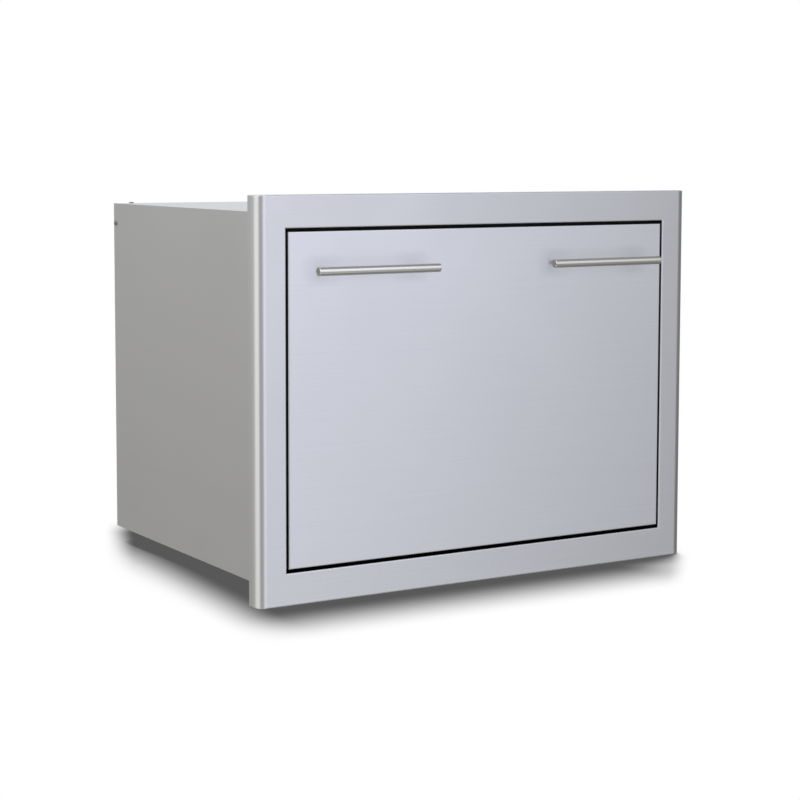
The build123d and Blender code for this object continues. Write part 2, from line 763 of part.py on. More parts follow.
# Drawer floor: lies on the sides' foot flanges, turned up at the front and the back
floor_back_y = face_y + back_plate_depth - drawer_sheet
floor_strip_front = front_back_y + drawer_sheet + panel_fit
with BuildPart() as drawer_floor:
    with BuildSketch(Plane.YZ.offset(-floor_mid_half)):
        with BuildLine():
            FilletPolyline(
                (front_back_y, floor_bottom + floor_flange),
                (front_back_y, floor_bottom),
                (floor_back_y, floor_bottom),
                (floor_back_y, floor_bottom + floor_flange),
                radius=drawer_bend,
            )
            offset(amount=drawer_sheet, side=Side.LEFT)
        make_face()
    extrude(amount=2 * floor_mid_half)
    with BuildSketch(Plane.XY.offset(floor_bottom)):
        with Locations((-drawer_inner_half, floor_strip_front), (floor_mid_half, floor_strip_front)):
            Rectangle(
                drawer_inner_half - floor_mid_half,
                floor_back_y - floor_strip_front,
                align=(Align.MIN, Align.MIN),
            )
    extrude(amount=drawer_sheet)
    with Locations(behind_face(front_depth)):
        with Locations(*floor_screw_places):
            Hole(screw_radius + hole_clearance, depth=floor_flange)
drawer_floor.part.label = "drawer_floor"
export_step(drawer_floor.part, "parts/drawer_floor.step")

# Screws that hold the drawer box to the liner: three in each side flange, two in the floor flange
with BuildPart() as drawer_front_screws:
    with BuildSketch(behind_face(front_depth + drawer_sheet)):
        with Locations(*side_screw_places, *floor_screw_places):
            Circle(screw_head_radius)
    extrude(amount=-screw_head)
    with BuildSketch(behind_face(front_depth + drawer_sheet)):
        with Locations(*side_screw_places, *floor_screw_places):
            Circle(screw_radius)
    extrude(amount=front_screw_grip)
drawer_front_screws.part.label = "drawer_front_screws"
export_step(drawer_front_screws.part, "parts/drawer_front_screws.step")

# Rivets through the sides' rear flanges and the drawer back
with BuildPart() as drawer_back_rivets:
    with BuildSketch(behind_face(drawer_depth + rivet_head)):
        with Locations(*side_screw_places):
            Circle(screw_head_radius)
    extrude(amount=rivet_head)
    with BuildSketch(behind_face(drawer_depth)):
        with Locations(*side_screw_places):
            Circle(screw_radius)
    extrude(amount=2 * drawer_sheet)
    with BuildSketch(behind_face(drawer_depth - 2 * drawer_sheet)):
        with Locations(*side_screw_places):
            Circle(screw_head_radius)
    extrude(amount=rivet_head)
drawer_back_rivets.part.label = "drawer_back_rivets"
export_step(drawer_back_rivets.part, "parts/drawer_back_rivets.step")

# Screws from inside the drawer into the slides' inner members
with BuildPart() as slide_inner_screws:
    with BuildSketch(Plane.YZ.offset(drawer_sheet - drawer_half)):
        with Locations(*[(face_y + depth, slide_z) for depth in slide_screw_depths]):
            Circle(screw_head_radius)
    extrude(amount=screw_head)
    with BuildSketch(Plane.YZ.offset(drawer_sheet - drawer_half)):
        with Locations(*[(face_y + depth, slide_z) for depth in slide_screw_depths]):
            Circle(screw_radius)
    extrude(amount=-screw_grip)
    mirror(about=Plane.YZ)
slide_inner_screws.part.label = "slide_inner_screws"
export_step(slide_inner_screws.part, "parts/slide_inner_screws.step")

# Bin divider: an upturned channel along the floor that keeps the bins apart
with BuildPart() as bin_divider:
    with BuildSketch(behind_face(drawer_depth - divider_end_gap)):
        with BuildLine():
            FilletPolyline(
                (-divider_width / 2 - divider_foot, floor_top),
                (-divider_width / 2, floor_top),
                (-divider_width / 2, floor_top + divider_height),
                (divider_width / 2, floor_top + divider_height),
                (divider_width / 2, floor_top),
                (divider_width / 2 + divider_foot, floor_top),
                radius=drawer_bend,
            )
            offset(amount=drawer_sheet, side=Side.LEFT)
        make_face()
    extrude(amount=drawer_depth - front_depth - 2 * divider_end_gap)
bin_divider.part.label = "bin_divider"
export_step(bin_divider.part, "parts/bin_divider.step")

# Bins: drafted mouldings with rounded corners and an outward rim with a dropped skirt
bin_body_width = bin_width - 2 * bin_rim
bin_body_length = bin_length - 2 * bin_rim
with BuildPart() as bin_cavity:
    with BuildSketch(Plane.XY.offset(bin_top)):
        with Locations((-bin_x, bin_y)):
            RectangleRounded(
                bin_body_width - 2 * bin_wall, bin_body_length - 2 * bin_wall, bin_corner - bin_wall
            )
    extrude(amount=bin_wall - bin_height, taper=bin_draft)
    fillet(bin_cavity.faces().sort_by(Axis.Z)[0].edges(), bin_bottom_radius - bin_wall)

with BuildPart() as bin_left:
    with BuildSketch(Plane.XY.offset(bin_top)):
        with Locations((-bin_x, bin_y)):
            RectangleRounded(bin_body_width, bin_body_length, bin_corner)
    extrude(amount=-bin_height, taper=bin_draft)
    fillet(bin_left.faces().sort_by(Axis.Z)[0].edges(), bin_bottom_radius)
    with BuildSketch(Plane.XY.offset(bin_top)):
        with Locations((-bin_x, bin_y)):
            RectangleRounded(bin_width, bin_length, bin_corner + bin_rim)
    extrude(amount=-bin_wall)
    with BuildSketch(Plane.XY.offset(bin_top)):
        with Locations((-bin_x, bin_y)):
            RectangleRounded(bin_width, bin_length, bin_corner + bin_rim)
            RectangleRounded(
                bin_width - 2 * bin_wall,
                bin_length - 2 * bin_wall,
                bin_corner + bin_rim - bin_wall,
                mode=Mode.SUBTRACT,
            )
    extrude(amount=-bin_rim_drop)
    fillet(bin_left.faces().sort_by(Axis.Z)[-1].edges(), bin_rim_radius)
    add(bin_cavity.part, mode=Mode.SUBTRACT)
bin_left.part.label = "bin_left"
export_step(bin_left.part, "parts/bin_left.step")

with BuildPart() as bin_right:
    mirror(bin_left.part, about=Plane.YZ)
bin_right.part.label = "bin_right"
export_step(bin_right.part, "parts/bin_right.step")
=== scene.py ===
"""Looks of the built-in twin-bin waste drawer, in metres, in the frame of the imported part."""

import math

import bmesh
import bpy
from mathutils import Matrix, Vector


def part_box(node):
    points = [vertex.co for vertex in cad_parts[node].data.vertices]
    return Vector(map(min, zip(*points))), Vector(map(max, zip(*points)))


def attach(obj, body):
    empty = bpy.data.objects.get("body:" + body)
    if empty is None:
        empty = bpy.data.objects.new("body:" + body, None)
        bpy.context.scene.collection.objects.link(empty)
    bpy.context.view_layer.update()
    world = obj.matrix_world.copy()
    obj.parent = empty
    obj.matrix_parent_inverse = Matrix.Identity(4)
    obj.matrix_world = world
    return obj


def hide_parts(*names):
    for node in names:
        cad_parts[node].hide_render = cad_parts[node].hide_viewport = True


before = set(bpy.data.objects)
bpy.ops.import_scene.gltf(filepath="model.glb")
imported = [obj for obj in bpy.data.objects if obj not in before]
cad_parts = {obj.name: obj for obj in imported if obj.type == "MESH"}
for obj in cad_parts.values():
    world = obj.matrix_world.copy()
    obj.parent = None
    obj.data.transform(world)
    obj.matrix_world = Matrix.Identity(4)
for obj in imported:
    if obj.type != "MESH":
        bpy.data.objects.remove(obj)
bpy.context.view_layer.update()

# Cabinet box. Five folded panels of 1 mm stainless sheet in mill finish, the top lying on the
# sides' flanges and the floor carrying them. The sheet keeps the fine straight rolling marks
# that run from front to back.


def add_node(tree, kind, inputs=None, **settings):
    """Adds a node; inputs gives each input a value or the output that feeds it."""
    node = tree.nodes.new(kind)
    for name, value in settings.items():
        setattr(node, name, value)
    for place, value in (inputs or {}).items():
        if isinstance(value, bpy.types.NodeSocket):
            tree.links.new(value, node.inputs[place])
        else:
            node.inputs[place].default_value = value
    return node


def new_material(name):
    """A material with its node tree and its surface shader."""
    material = bpy.data.materials.new(name)
    material.use_nodes = True
    return material, material.node_tree, material.node_tree.nodes["Principled BSDF"]


def feed(tree, shader, **outputs):
    """Links outputs to the shader's inputs of the same names, with _ for a space."""
    for name, output in outputs.items():
        tree.links.new(output, shader.inputs[name.replace("_", " ")])


def noise(tree, where, scale, detail, **more):
    """Output of a noise texture."""
    inputs = {"Vector": where, "Scale": scale, "Detail": detail, **more}
    return add_node(tree, "ShaderNodeTexNoise", inputs).outputs["Fac"]


def blend(tree, share, *colours):
    """Output of a mix of two colours, each three numbers or an output."""
    first, second = (
        colour if isinstance(colour, bpy.types.NodeSocket) else (*colour, 1.0) for colour in colours
    )
    inputs = {"Factor": share, "A": first, "B": second}
    return add_node(tree, "ShaderNodeMix", inputs, data_type="RGBA").outputs["Result"]


def remap(tree, value, source, target=(0.0, 1.0), interpolation="LINEAR"):
    """Output of a node that carries a value from a source range over to a target range."""
    inputs = {"Value": value}
    inputs["From Min"], inputs["From Max"] = source
    inputs["To Min"], inputs["To Max"] = target
    return add_node(
        tree, "ShaderNodeMapRange", inputs, interpolation_type=interpolation
    ).outputs["Result"]


def calc(tree, operation, first, second=0.0):
    """Output of a maths node."""
    return add_node(
        tree, "ShaderNodeMath", {0: first, 1: second}, operation=operation
    ).outputs["Value"]


def brushed_stainless(
    name, dark, light, roughness, anisotropy, marks, spread, relief=0.06, level_gloss=1.0
):
    """Stainless steel with straight polishing marks.

    marks is their frequency along X, Y and Z, and spread the direction they blur light in.
    level_gloss is the share of the roughness that is left on level faces, which the belt misses.
    """
    material, tree, steel = new_material(name)
    steel.inputs["Metallic"].default_value = 1.0
    steel.inputs["Anisotropic"].default_value = anisotropy
    coordinates = add_node(tree, "ShaderNodeTexCoord").outputs
    where = coordinates["Object"]
    drawn_out = add_node(tree, "ShaderNodeMapping", {"Vector": where, "Scale": marks})
    scratches = noise(tree, drawn_out.outputs["Vector"], scale=1.0, detail=4.0, Roughness=0.65)
    clouds = noise(tree, where, scale=6.0, detail=2.0)
    haze = calc(tree, "ADD", scratches, clouds)
    gloss = remap(tree, haze, (0.6, 1.4), (roughness * 0.85, roughness * 1.15))
    facing = add_node(tree, "ShaderNodeSeparateXYZ", {"Vector": coordinates["Normal"]}).outputs["Z"]
    missed = remap(tree, calc(tree, "ABSOLUTE", facing), (0.7, 0.98), (1.0, level_gloss))
    bump = add_node(
        tree, "ShaderNodeBump", {"Height": scratches, "Strength": relief, "Distance": 0.0002}
    )
    across = add_node(tree, "ShaderNodeCombineXYZ", dict(zip("XYZ", spread)))
    feed(
        tree,
        steel,
        Base_Color=blend(tree, scratches, dark, light),
        Roughness=calc(tree, "MULTIPLY", gloss, missed),
        Normal=bump.outputs["Normal"],
        Tangent=across.outputs["Vector"],
    )
    return material


def finish(material, *names):
    """Gives CAD nodes their material."""
    for name in names:
        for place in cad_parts[name].material_slots:
            place.material = material


mill_stainless = brushed_stainless(
    "mill_stainless",
    dark=(0.534, 0.534, 0.543),
    light=(0.594, 0.594, 0.603),
    roughness=0.40,
    anisotropy=0.7,
    marks=(900, 5, 900),
    spread=(1.0, 0.02, 1.0),
    relief=0.04,
)
finish(
    mill_stainless,
    "cabinet_left_side",
    "cabinet_right_side",
    "cabinet_top",
    "cabinet_floor",
    "cabinet_back",
)

# Face frame. One formed sheet of 1.2 mm stainless, brushed along its width, with bull-nosed
# upright edges and a return round the opening; the corners are welded and dressed flush.
frame_stainless = brushed_stainless(
    "frame_stainless",
    dark=(0.53, 0.535, 0.55),
    light=(0.63, 0.635, 0.65),
    roughness=0.35,
    anisotropy=0.86,
    marks=(5, 900, 900),
    spread=(0.01, 0.02, 1.0),
    level_gloss=0.3,
)
finish(frame_stainless, "face_frame")

# Slide brackets and telescopic slides. Hat channels of plated steel carry three nested rolled
# members on each side. Bright zinc shows faint blue and straw clouds and fine rolling lines.


def zinc_plate(name, blue, straw, roughness):
    """Electroplated zinc with a thin passivation film that tints it in soft clouds."""
    material, tree, plate = new_material(name)
    plate.inputs["Metallic"].default_value = 1.0
    where = add_node(tree, "ShaderNodeTexCoord").outputs["Object"]
    clouds = noise(tree, where, scale=22.0, detail=3.0, Distortion=0.6)
    film = remap(tree, clouds, (0.38, 0.62), interpolation="SMOOTHSTEP")
    drawn_out = add_node(tree, "ShaderNodeMapping", {"Vector": where, "Scale": (700, 9, 700)})
    lines = noise(tree, drawn_out.outputs["Vector"], scale=1.0, detail=3.0)
    bump = add_node(
        tree, "ShaderNodeBump", {"Height": lines, "Strength": 0.08, "Distance": 0.0002}
    )
    feed(
        tree,
        plate,
        Base_Color=blend(tree, film, blue, straw),
        Roughness=remap(tree, lines, (0.3, 0.7), (roughness * 0.8, roughness * 1.2)),
        Normal=bump.outputs["Normal"],
    )
    return material


zinc = zinc_plate(
    "zinc_plate", blue=(0.52, 0.56, 0.60), straw=(0.62, 0.60, 0.55), roughness=0.34
)
for side in ("left", "right"):
    finish(
        zinc,
        f"slide_{side}_bracket",
        f"slide_{side}_outer",
        f"slide_{side}_middle",
        f"slide_{side}_inner",
    )

# Ball cages and balls. Strips of thin plated steel pressed to a channel keep hard polished balls
# apart in the races; a film of grease dulls both a little.
cage_plate = zinc_plate(
    "cage_plate", blue=(0.46, 0.48, 0.50), straw=(0.55, 0.54, 0.50), roughness=0.42
)
ball_steel, ball_tree, ball_shader = new_material("ball_steel")
ball_shader.inputs["Metallic"].default_value = 1.0
ball_where = add_node(ball_tree, "ShaderNodeTexCoord").outputs["Object"]
ball_film = noise(ball_tree, ball_where, scale=420.0, detail=2.0)
ball_tone = blend(ball_tree, ball_film, (0.66, 0.66, 0.66), (0.78, 0.77, 0.74))
ball_gloss = remap(ball_tree, ball_film, (0.0, 1.0), (0.05, 0.3))
feed(ball_tree, ball_shader, Base_Color=ball_tone, Roughness=ball_gloss)
for side in ("left", "right"):
    for stage in ("outer", "inner"):
        finish(cage_plate, f"slide_{side}_{stage}_cage")
        finish(ball_steel, f"slide_{side}_{stage}_balls")

# Rubber stops. Black buffers fill the rear ends of the slides, and push-in bumpers stand in the
# top's front flange; a black strip along that flange fills the gap over the drawer front with
# painted shade.
black_rubber, rubber_tree, rubber = new_material("black_rubber")
rubber.inputs["Specular IOR Level"].default_value = 0.3
rubber_where = add_node(rubber_tree, "ShaderNodeTexCoord").outputs["Object"]
rubber_grain = noise(rubber_tree, rubber_where, scale=900.0, detail=3.0)
rubber_bloom = noise(rubber_tree, rubber_where, scale=60.0, detail=2.0)
rubber_bump = add_node(
    rubber_tree, "ShaderNodeBump", {"Height": rubber_grain, "Strength": 0.25, "Distance": 0.0002}
)
feed(
    rubber_tree,
    rubber,
    Base_Color=blend(rubber_tree, rubber_bloom, (0.012, 0.012, 0.012), (0.03, 0.03, 0.031)),
    Roughness=remap(rubber_tree, rubber_bloom, (0.0, 1.0), (0.6, 0.9)),
    Normal=rubber_bump.outputs["Normal"],
)
finish(black_rubber, "slide_buffers", "stop_bumpers")


def geometry_tree(name, **kinds):
    """A geometry tree with named size inputs; gives the tree, its inputs and its outputs."""
    tree = bpy.data.node_groups.new(name, "GeometryNodeTree")
    tree.interface.new_socket("Places", in_out="INPUT", socket_type="NodeSocketGeometry")
    for title, kind in kinds.items():
        tree.interface.new_socket(
            title.replace("_", " "), in_out="INPUT", socket_type="NodeSocket" + kind
        )
    tree.interface.new_socket("Finish", in_out="INPUT", socket_type="NodeSocketMaterial")
    tree.interface.new_socket("Pieces", in_out="OUTPUT", socket_type="NodeSocketGeometry")
    given = tree.nodes.new("NodeGroupInput").outputs
    result = tree.nodes.new("NodeGroupOutput").inputs
    return tree, given, result


def close_tree(tree, given, result, geometry):
    """Ends a geometry tree: instances become real mesh and take the finish."""
    real = add_node(tree, "GeometryNodeRealizeInstances", {"Geometry": geometry})
    coated = add_node(
        tree,
        "GeometryNodeSetMaterial",
        {"Geometry": real.outputs["Geometry"], "Material": given["Finish"]},
    )
    tree.links.new(coated.outputs["Geometry"], result["Pieces"])


def grow(name, tree, places, finish_material, sharp_angle=40.0, **sizes):
    """Runs a geometry tree on a mesh of places and returns what it makes as a plain mesh object."""
    source = bpy.data.objects.new(name + "_places", places)
    bpy.context.collection.objects.link(source)
    maker = source.modifiers.new("maker", "NODES")
    maker.node_group = tree
    values = {title.replace("_", " "): value for title, value in sizes.items()}
    values["Finish"] = finish_material
    for socket in tree.interface.items_tree:
        if socket.in_out == "INPUT" and socket.name in values:
            maker[socket.identifier] = values[socket.name]
    made = source.evaluated_get(bpy.context.evaluated_depsgraph_get())
    mesh = bpy.data.meshes.new_from_object(made)
    bpy.data.objects.remove(source)
    mesh.name = name
    mesh.shade_smooth()
    mesh.set_sharp_from_angle(angle=math.radians(sharp_angle))
    piece = bpy.data.objects.new(name, mesh)
    bpy.context.collection.objects.link(piece)
    return piece


strip_tree, strip_given, strip_result = geometry_tree("gap_shade_strip", Start="Vector", End="Vector")
strip_outline = add_node(strip_tree, "GeometryNodeMeshToCurve", {"Mesh": strip_given["Places"]})
strip_run = add_node(
    strip_tree,
    "GeometryNodeCurvePrimitiveLine",
    {"Start": strip_given["Start"], "End": strip_given["End"]},
)
strip_solid = add_node(
    strip_tree,
    "GeometryNodeCurveToMesh",
    {
        "Curve": strip_run.outputs["Curve"],
        "Profile Curve": strip_outline.outputs["Curve"],
        "Fill Caps": True,
    },
)
close_tree(strip_tree, strip_given, strip_result, strip_solid.outputs["Mesh"])

# Painted shade: a black strip that darkens the gap over the drawer front.
strip_width = 0.0056
strip_thickness = 0.0026
strip_lift = 0.0017
strip_overhang = 0.0030
strip_steps = 12
front_low, front_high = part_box("drawer_front_skin")
strip_turns = [math.pi * (step / strip_steps - 0.5) for step in range(strip_steps + 1)]
strip_points = [
    (strip_thickness * math.sqrt(max(math.cos(turn), 0.0)), strip_width / 2 * math.sin(turn), 0.0)
    for turn in strip_turns
]
strip_edges = [(step, (step + 1) % len(strip_points)) for step in range(len(strip_points))]
strip_profile = bpy.data.meshes.new("gap_shade_strip_outline")
strip_profile.from_pydata(strip_points, strip_edges, [])
strip_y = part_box("cabinet_top")[0].y
strip_z = front_high.z + strip_lift
gap_shade_strip = grow(
    "gap_shade_strip",
    strip_tree,
    strip_profile,
    black_rubber,
    Start=(front_low.x - strip_overhang, strip_y, strip_z),
    End=(front_high.x + strip_overhang, strip_y, strip_z),
)
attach(gap_shade_strip, "cabinet")

# Spot welds. The top and the floor are spot welded to the sides' flanges, the slide brackets to
# the sides and the bin divider to the drawer floor; each weld leaves a low ring in the sheet.


def scatter(tree, given, result, shape):
    """Sets a shape on every place, upright on its outward direction and turned at random."""
    points = add_node(tree, "GeometryNodeMeshToPoints", {"Mesh": given["Places"]})
    outward = add_node(
        tree, "GeometryNodeInputNamedAttribute", {"Name": "outward"}, data_type="FLOAT_VECTOR"
    )
    upright = add_node(
        tree,
        "FunctionNodeAlignRotationToVector",
        {"Vector": outward.outputs["Attribute"]},
        axis="Z",
    )
    angle = add_node(
        tree,
        "FunctionNodeRandomValue",
        {"Min": 0.0, "Max": math.tau, "Seed": given["Seed"]},
        data_type="FLOAT",
    )
    spin = add_node(
        tree,
        "FunctionNodeAxisAngleToRotation",
        {"Axis": (0.0, 0.0, 1.0), "Angle": angle.outputs["Value"]},
    )
    turned = add_node(
        tree,
        "FunctionNodeRotateRotation",
        {"Rotation": upright.outputs["Rotation"], "Rotate By": spin.outputs["Rotation"]},
        rotation_space="LOCAL",
    )
    placed = add_node(
        tree,
        "GeometryNodeInstanceOnPoints",
        {
            "Points": points.outputs["Points"],
            "Instance": shape,
            "Rotation": turned.outputs["Rotation"],
        },
    )
    close_tree(tree, given, result, placed.outputs["Instances"])


def places_mesh(name, places):
    """A mesh of loose points, each with the direction that faces out of the sheet."""
    mesh = bpy.data.meshes.new(name)
    mesh.from_pydata([place for place, outward in places], [], [])
    directions = mesh.attributes.new("outward", "FLOAT_VECTOR", "POINT")
    for direction, (place, outward) in zip(directions.data, places):
        direction.vector = outward
    return mesh


weld_tree, weld_given, weld_result = geometry_tree(
    "spot_welds", Radius="Float", Rise="Float", Seed="Int"
)
weld_round_sides = 20
weld_bead_sides = 6
weld_round, weld_bead = (
    add_node(
        weld_tree,
        "GeometryNodeCurvePrimitiveCircle",
        {"Resolution": sides, "Radius": weld_given[radius]},
    )
    for sides, radius in ((weld_round_sides, "Radius"), (weld_bead_sides, "Rise"))
)
weld_ring = add_node(
    weld_tree,
    "GeometryNodeCurveToMesh",
    {"Curve": weld_round.outputs["Curve"], "Profile Curve": weld_bead.outputs["Curve"]},
)
scatter(weld_tree, weld_given, weld_result, weld_ring.outputs["Mesh"])


def spread_evenly(start, end, count):
    """Places from start to end at even steps."""
    return [start + (end - start) * step / (count - 1) for step in range(count)]


weld_radius = 0.0022
weld_rise = 0.00012
weld_margin = 0.04
weld_edge = 0.0075
panel_weld_count = 7
rail_weld_count = 5
weld_seed = 3
top_low, top_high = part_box("cabinet_top")
floor_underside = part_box("cabinet_floor")[0].z
bracket_low, bracket_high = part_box("slide_left_bracket")
bracket_lip = 0.012
bracket_sheet = 0.0012
cabinet_welds = []
for weld_y in spread_evenly(top_low.y + weld_margin, top_high.y - weld_margin, panel_weld_count):
    for weld_x in (top_low.x + weld_edge, top_high.x - weld_edge):
        cabinet_welds.append(((weld_x, weld_y, top_high.z), (0, 0, 1)))
        cabinet_welds.append(((weld_x, weld_y, floor_underside), (0, 0, -1)))
lip_face = bracket_low.x + bracket_sheet
for weld_y in spread_evenly(
    bracket_low.y + weld_margin, bracket_high.y - weld_margin, rail_weld_count
):
    for weld_z in (bracket_low.z + bracket_lip / 2, bracket_high.z - bracket_lip / 2):
        cabinet_welds.append(((lip_face, weld_y, weld_z), (1, 0, 0)))
        cabinet_welds.append(((-lip_face, weld_y, weld_z), (-1, 0, 0)))
divider_low, divider_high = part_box("bin_divider")
divider_foot = 0.012
divider_sheet = 0.001
drawer_welds = []
foot_face = divider_low.z + divider_sheet
for weld_y in spread_evenly(
    divider_low.y + weld_margin, divider_high.y - weld_margin, rail_weld_count
):
    for weld_x in (divider_low.x + divider_foot / 2, divider_high.x - divider_foot / 2):
        drawer_welds.append(((weld_x, weld_y, foot_face), (0, 0, 1)))
for body, welds in (("cabinet", cabinet_welds), ("drawer", drawer_welds)):
    weld_name = f"{body}_spot_welds"
    weld_piece = grow(
        weld_name,
        weld_tree,
        places_mesh(weld_name, welds),
        mill_stainless,
        Radius=weld_radius,
        Rise=weld_rise,
        Seed=weld_seed,
    )
    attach(weld_piece, body)

# Screws and rivets. Pan heads with a cross recess hold the back pan, the drawer front and the
# slides; countersunk heads lie flush in the slides, and domed rivets join the drawer back.
fixing_steel, fixing_nodes, fixing_shader = new_material("fixing_steel")
fixing_shader.inputs["Metallic"].default_value = 1.0
fixing_where = add_node(fixing_nodes, "ShaderNodeTexCoord").outputs["Object"]
fixing_film = noise(fixing_nodes, fixing_where, scale=700.0, detail=3.0)
fixing_tone = blend(fixing_nodes, fixing_film, (0.15, 0.15, 0.15), (0.27, 0.265, 0.26))
fixing_gloss = remap(fixing_nodes, fixing_film, (0.0, 1.0), (0.25, 0.5))
feed(fixing_nodes, fixing_shader, Base_Color=fixing_tone, Roughness=fixing_gloss)

same_place = 1e-6
level_digits = 5


def fixings(node):
    """Middle, outward axis and (level, radius) steps, tail to head, of each fixing in a node."""
    shape = bmesh.new()
    shape.from_mesh(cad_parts[node].data)
    bmesh.ops.remove_doubles(shape, verts=shape.verts, dist=same_place)
    found = []
    for first in shape.verts:
        if first.tag:
            continue
        first.tag = True
        island = [first]
        for vert in island:
            for edge in vert.link_edges:
                neighbour = edge.other_vert(vert)
                if not neighbour.tag:
                    neighbour.tag = True
                    island.append(neighbour)
        spans = [(min(line), max(line)) for line in zip(*(vert.co for vert in island))]
        middle = Vector([(low + high) / 2 for low, high in spans])
        sizes = [high - low for low, high in spans]
        along = min(range(3), key=lambda i: abs(sizes[i - 1] - sizes[i - 2]))
        radii = {}
        for vert in island:
            offset = vert.co - middle
            level = round(offset[along], level_digits)
            offset[along] = 0.0
            radii[level] = max(radii.get(level, 0.0), offset.length)
        steps = sorted(radii.items())
        axis = Vector((0, 0, 0))
        axis[along] = 1.0
        if steps[0][1] > steps[-1][1]:
            axis.negate()
            steps = [(-level, radius) for level, radius in reversed(steps)]
        found.append((middle, axis, steps))
    shape.free()
    return found


def vector(tree, x, y, z):
    """Output of a node that joins three numbers."""
    return add_node(tree, "ShaderNodeCombineXYZ", {"X": x, "Y": y, "Z": z}).outputs["Vector"]


head_sides = 24
head_rings = 12
shank_sides = 16
pan_squareness = 0.55
rivet_squareness = 1.0
shank_sink_share = 0.3
shank_radius_share = 0.9
recess_length_share = 1.1
recess_width_share = 0.24
fixing_seed = 11


def domed_head(tree, radius, height, squareness):
    """A ball pressed flat below and swollen above; a small squareness gives a flat top."""
    ball = add_node(
        tree,
        "GeometryNodeMeshUVSphere",
        {"Segments": head_sides, "Rings": head_rings, "Radius": 1.0},
    )
    position = add_node(tree, "GeometryNodeInputPosition").outputs["Position"]
    spot = add_node(tree, "ShaderNodeSeparateXYZ", {"Vector": position}).outputs
    rise = calc(tree, "POWER", calc(tree, "MAXIMUM", spot["Z"], 0.0), squareness)
    pressed = vector(
        tree,
        calc(tree, "MULTIPLY", spot["X"], radius),
        calc(tree, "MULTIPLY", spot["Y"], radius),
        calc(tree, "MULTIPLY", rise, height),
    )
    return add_node(
        tree, "GeometryNodeSetPosition", {"Geometry": ball.outputs["Mesh"], "Position": pressed}
    ).outputs["Geometry"]


def fixing_tree(name, kind):
    """Geometry tree for pan, sunk or rivet fixings: heads on shanks, set on their places."""
    tree, given, result = geometry_tree(
        name,
        Head_Radius="Float",
        Head_Height="Float",
        Shank_Radius="Float",
        Shank_Length="Float",
        Seed="Int",
    )
    head_radius, head_height = given["Head Radius"], given["Head Height"]
    if kind == "sunk":
        head = add_node(
            tree,
            "GeometryNodeMeshCone",
            {
                "Vertices": head_sides,
                "Radius Top": head_radius,
                "Radius Bottom": given["Shank Radius"],
                "Depth": head_height,
            },
        ).outputs["Mesh"]
    else:
        squareness = pan_squareness if kind == "pan" else rivet_squareness
        head = domed_head(tree, head_radius, head_height, squareness)
    overlap = calc(tree, "MULTIPLY", head_height, shank_sink_share)
    shank = add_node(
        tree,
        "GeometryNodeMeshCylinder",
        {
            "Vertices": shank_sides,
            "Radius": calc(tree, "MULTIPLY", given["Shank Radius"], shank_radius_share),
            "Depth": calc(tree, "ADD", given["Shank Length"], overlap),
        },
    ).outputs["Mesh"]
    shank_ends = calc(tree, "SUBTRACT", overlap, given["Shank Length"])
    shank_middle = vector(tree, 0.0, 0.0, calc(tree, "MULTIPLY", shank_ends, 0.5))
    shank = add_node(
        tree, "GeometryNodeTransform", {"Geometry": shank, "Translation": shank_middle}
    ).outputs["Geometry"]
    whole = add_node(tree, "GeometryNodeMeshBoolean", operation="UNION", solver="EXACT")
    tree.links.new(head, whole.inputs["Mesh 2"])
    tree.links.new(shank, whole.inputs["Mesh 2"])
    if kind == "rivet":
        tail_level = calc(tree, "MULTIPLY", given["Shank Length"], -1.0)
        tail = add_node(
            tree,
            "GeometryNodeTransform",
            {
                "Geometry": head,
                "Translation": vector(tree, 0.0, 0.0, tail_level),
                "Rotation": (math.pi, 0.0, 0.0),
            },
        ).outputs["Geometry"]
        tree.links.new(tail, whole.inputs["Mesh 2"])
        scatter(tree, given, result, whole.outputs["Mesh"])
        return tree
    arm_long = calc(tree, "MULTIPLY", head_radius, recess_length_share)
    arm_wide = calc(tree, "MULTIPLY", head_radius, recess_width_share)
    recessed = add_node(
        tree,
        "GeometryNodeMeshBoolean",
        {"Mesh 1": whole.outputs["Mesh"]},
        operation="DIFFERENCE",
        solver="EXACT",
    )
    for width, length in ((arm_long, arm_wide), (arm_wide, arm_long)):
        arm_size = vector(tree, width, length, head_height)
        arm = add_node(tree, "GeometryNodeMeshCube", {"Size": arm_size})
        sunk_arm = add_node(
            tree,
            "GeometryNodeTransform",
            {"Geometry": arm.outputs["Mesh"], "Translation": vector(tree, 0.0, 0.0, head_height)},
        )
        tree.links.new(sunk_arm.outputs["Geometry"], recessed.inputs["Mesh 2"])
    scatter(tree, given, result, recessed.outputs["Mesh"])
    return tree


pan_tree = fixing_tree("pan_screws", "pan")
sunk_tree = fixing_tree("sunk_screws", "sunk")
rivet_tree = fixing_tree("rivets", "rivet")
for node, tree, body in (
    ("back_panel_screws", pan_tree, "cabinet"),
    ("slide_outer_screws", sunk_tree, "cabinet"),
    ("handle_screws", pan_tree, "drawer"),
    ("drawer_front_screws", pan_tree, "drawer"),
    ("slide_inner_screws", pan_tree, "drawer"),
    ("drawer_back_rivets", rivet_tree, "drawer"),
):
    found = fixings(node)
    seats = [(middle + axis * steps[-2][0], axis) for middle, axis, steps in found]
    steps = found[0][2]
    seat_level = steps[-2][0]
    head_level, head_radius = steps[-1]
    tail_level, shank_radius = steps[0]
    if tree is rivet_tree:
        tail_level = steps[1][0]
        shank_radius = head_radius / 2
    fixing = grow(
        node + "_dressed",
        tree,
        places_mesh(node + "_places", seats),
        fixing_steel,
        Head_Radius=head_radius,
        Head_Height=head_level - seat_level,
        Shank_Radius=shank_radius,
        Shank_Length=seat_level - tail_level,
        Seed=fixing_seed,
    )
    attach(fixing, body)
    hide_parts(node)
